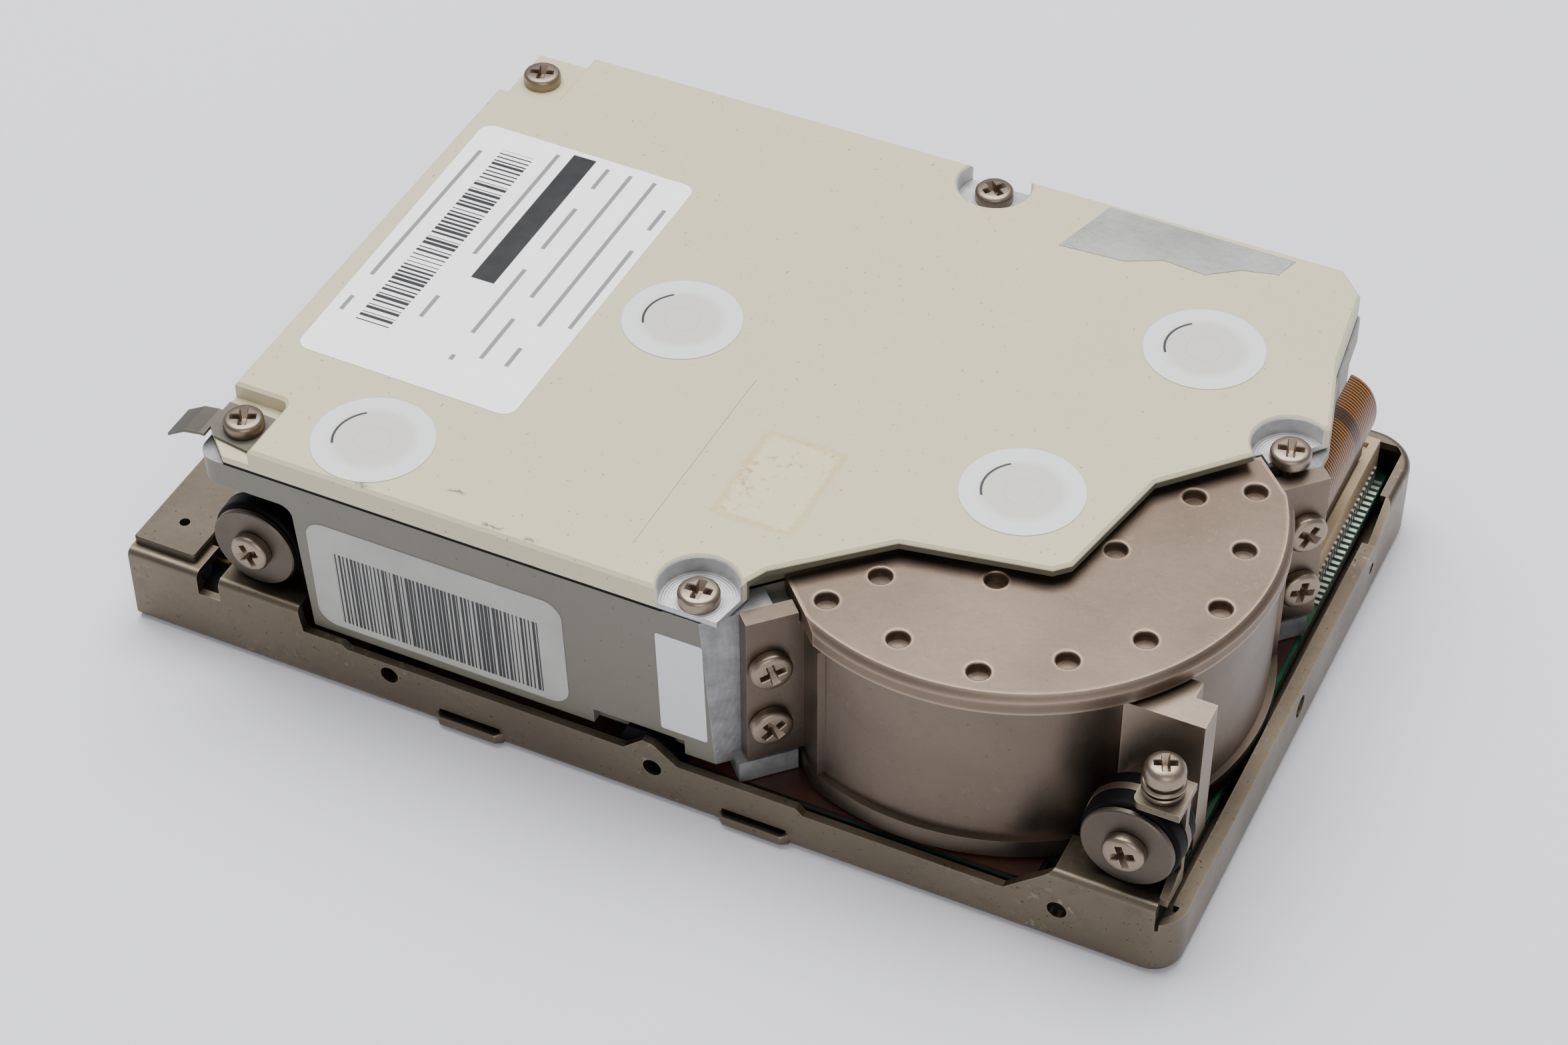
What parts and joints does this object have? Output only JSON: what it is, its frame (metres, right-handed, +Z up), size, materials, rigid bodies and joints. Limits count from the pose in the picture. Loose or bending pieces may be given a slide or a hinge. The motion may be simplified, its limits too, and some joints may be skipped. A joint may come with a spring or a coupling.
{
  "type": "hard disk drive",
  "caption": "Bare 3.5-inch hard disk drive: rubber-mounted head and disk housing with an exposed curved arm motor, carried in a folded steel tray over its circuit board.",
  "frame": {"origin": "centre of the tray's footprint, on the flat underside", "axes": "+X along the length, from the sockets to the curved motor; +Z up out of the cover"},
  "size_m": [0.161, 0.1016, 0.0413],
  "materials": {
    "amber_film": "gloss",
    "bare_aluminium": "satin",
    "beige_plastic": "matte",
    "black_plastic": "matte",
    "black_rubber": "satin",
    "bright_steel": "gloss",
    "brown_film": "satin",
    "brown_plastic": "satin",
    "circuit_board": "satin",
    "clear_seal": "satin",
    "clip_steel": "matte",
    "copper_wire": "satin",
    "dark_steel": "matte",
    "disk_surface": "gloss",
    "gold_pins": "satin",
    "magnet": "matte",
    "motor_steel": "satin",
    "painted_casting": "satin",
    "painted_cover": "satin",
    "plated_steel": "satin",
    "printed_label": "satin",
    "screw_steel": "satin",
    "silver_foil": "satin",
    "slider_ceramic": "satin",
    "tan_plastic": "matte",
    "tinned_leads": "satin",
    "washer_steel": "satin",
    "white_filter": "matte",
    "white_label": "satin"
  },
  "bodies": {
    "drive": {"base_casting": "painted_casting", "board_capacitors": "tan_plastic", "board_chips": "black_plastic", "board_insulator": "brown_film", "board_screws": "screw_steel", "breather_filter": "white_filter", "cover_gasket": "black_rubber", "cover_screws": "screw_steel", "crash_stops": "black_rubber", "damper_grommets": "black_rubber", "damper_screws": "screw_steel", "damper_washers": "washer_steel", "end_panel": "plated_steel", "flex_circuit": "amber_film", "flex_connector": "beige_plastic", "flex_connector_leads": "tinned_leads", "flex_stiffener": "brown_plastic", "foil_label": "silver_foil", "frame_tray": "plated_steel", "ground_clip": "clip_steel", "interface_connector": "black_plastic", "interface_pins": "gold_pins", "jumper_block": "black_plastic", "lot_label": "printed_label", "lower_magnet": "magnet", "main_board": "circuit_board", "motor_bottom_plate": "motor_steel", "motor_screws": "screw_steel", "motor_shell": "motor_steel", "motor_top_plate": "motor_steel", "mount_bracket": "motor_steel", "pivot_bearings": "bright_steel", "pivot_post": "bright_steel", "power_connector": "black_plastic", "power_pins": "gold_pins", "rating_label": "white_label", "recirculation_filter": "white_filter", "seal_labels": "clear_seal", "side_bumpers": "black_rubber", "side_label": "white_label", "spindle_bearings": "bright_steel", "spindle_stator": "dark_steel", "stator_coils": "copper_wire", "terminal_screw": "screw_steel", "top_cover": "painted_cover", "upper_magnet": "magnet"},
    "spindle": {"spindle_hub": "bare_aluminium", "spindle_shaft": "bright_steel", "rotor_magnet": "magnet", "data_disks": "disk_surface", "disk_spacers": "bare_aluminium", "disk_clamp": "bare_aluminium", "clamp_screws": "screw_steel"},
    "actuator": {"arm_comb": "bare_aluminium", "pivot_sleeve": "bright_steel", "voice_coil": "copper_wire", "head_suspensions": "bright_steel", "head_sliders": "slider_ceramic"}
  },
  "joints": [
    {"name": "spindle_spin", "type": "hinge", "parent": "drive", "child": "spindle", "pos_m": [-0.016, 0, 0.0232], "axis": [0, 0, 1], "continuous": true},
    {"name": "actuator_swing", "type": "hinge", "parent": "drive", "child": "actuator", "pos_m": [0.0408, -0.0119, 0.0232], "axis": [0, 0, 1], "range_deg": [-15, 15]}
  ]
}
